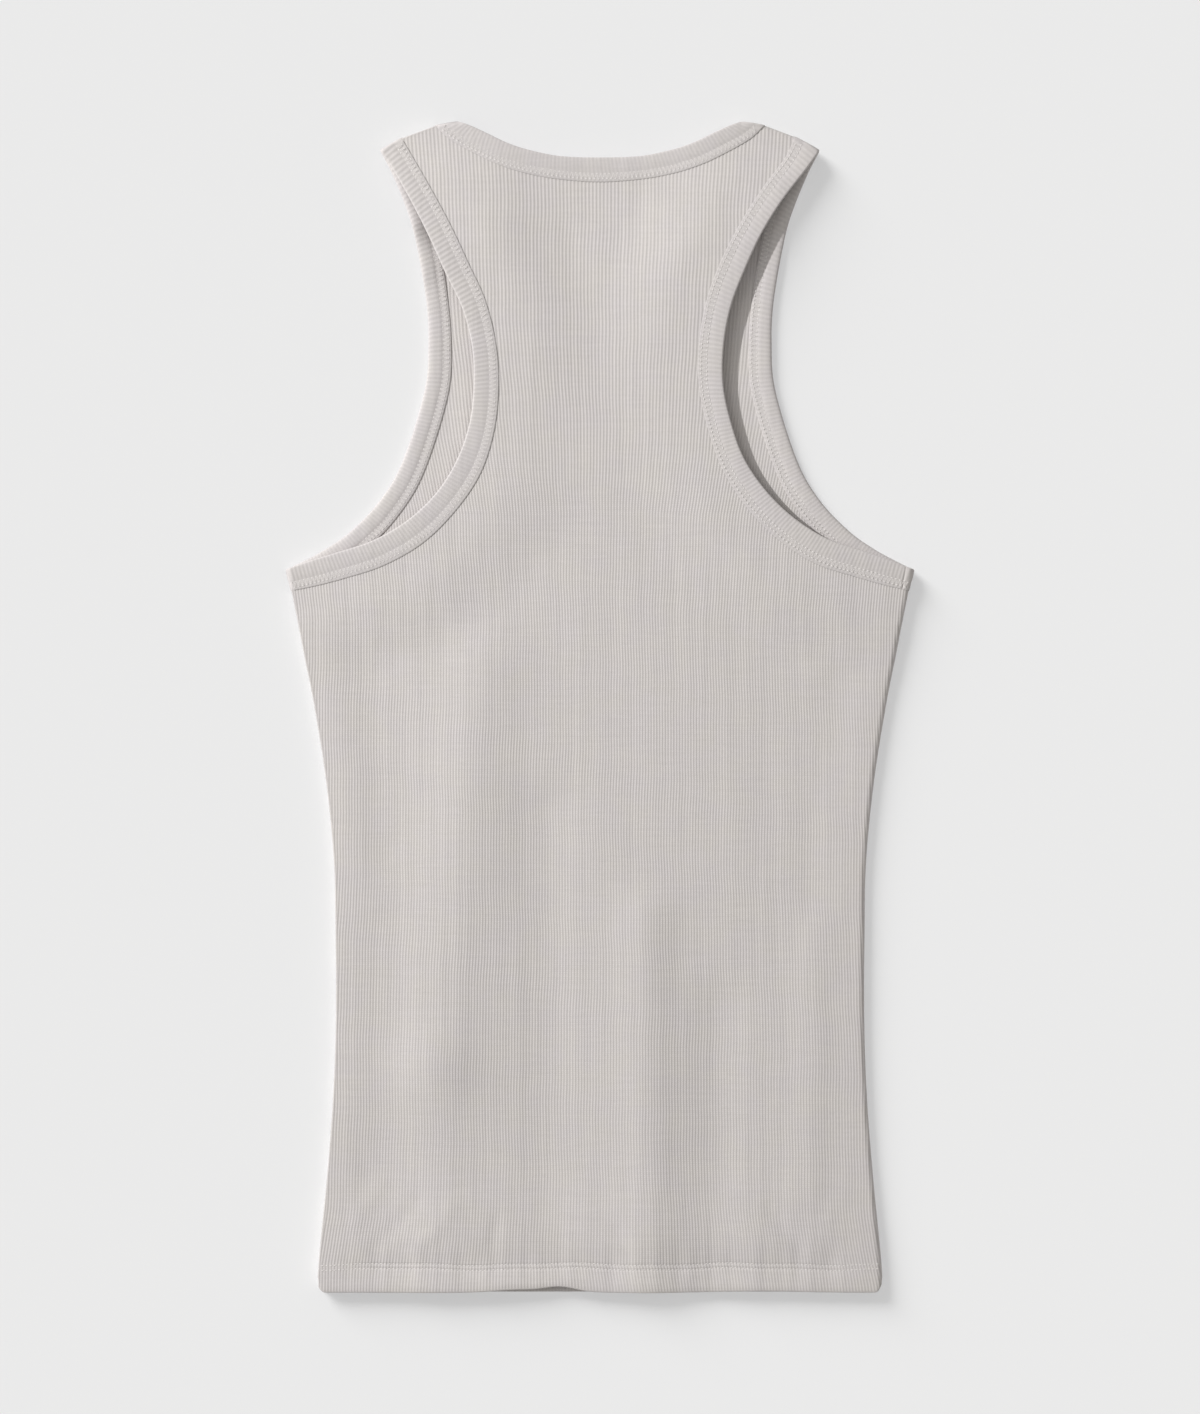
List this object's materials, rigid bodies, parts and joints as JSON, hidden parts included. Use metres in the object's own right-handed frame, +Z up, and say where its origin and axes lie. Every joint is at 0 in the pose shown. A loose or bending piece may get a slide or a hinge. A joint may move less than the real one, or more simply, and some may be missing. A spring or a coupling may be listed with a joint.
{
  "type": "ribbed racerback tank top laid flat",
  "caption": "Sleeveless rib-knit racerback tank top lying flat face down, with bound neck and armholes and a turned-up hem.",
  "frame": {"origin": "centre of the garment's rectangle on the surface it lies on", "axes": "+Z up off the surface, out of the garment's back; +Y from the hem towards the neck; +X towards the wearer's right side"},
  "size_m": [0.354, 0.6591, 0.0111],
  "materials": {
    "front_knit": "fine rib knit, matt, warm light grey",
    "back_knit": "fine rib knit, matt, warm light grey",
    "binding_knit": "folded rib knit, ribs across the band, matt, warm light grey"
  },
  "bodies": {
    "root": {"front_panel": "front_knit", "back_panel": "back_knit", "neck_binding": "binding_knit", "armhole_binding_right": "binding_knit", "armhole_binding_left": "binding_knit"}
  },
  "joints": []
}
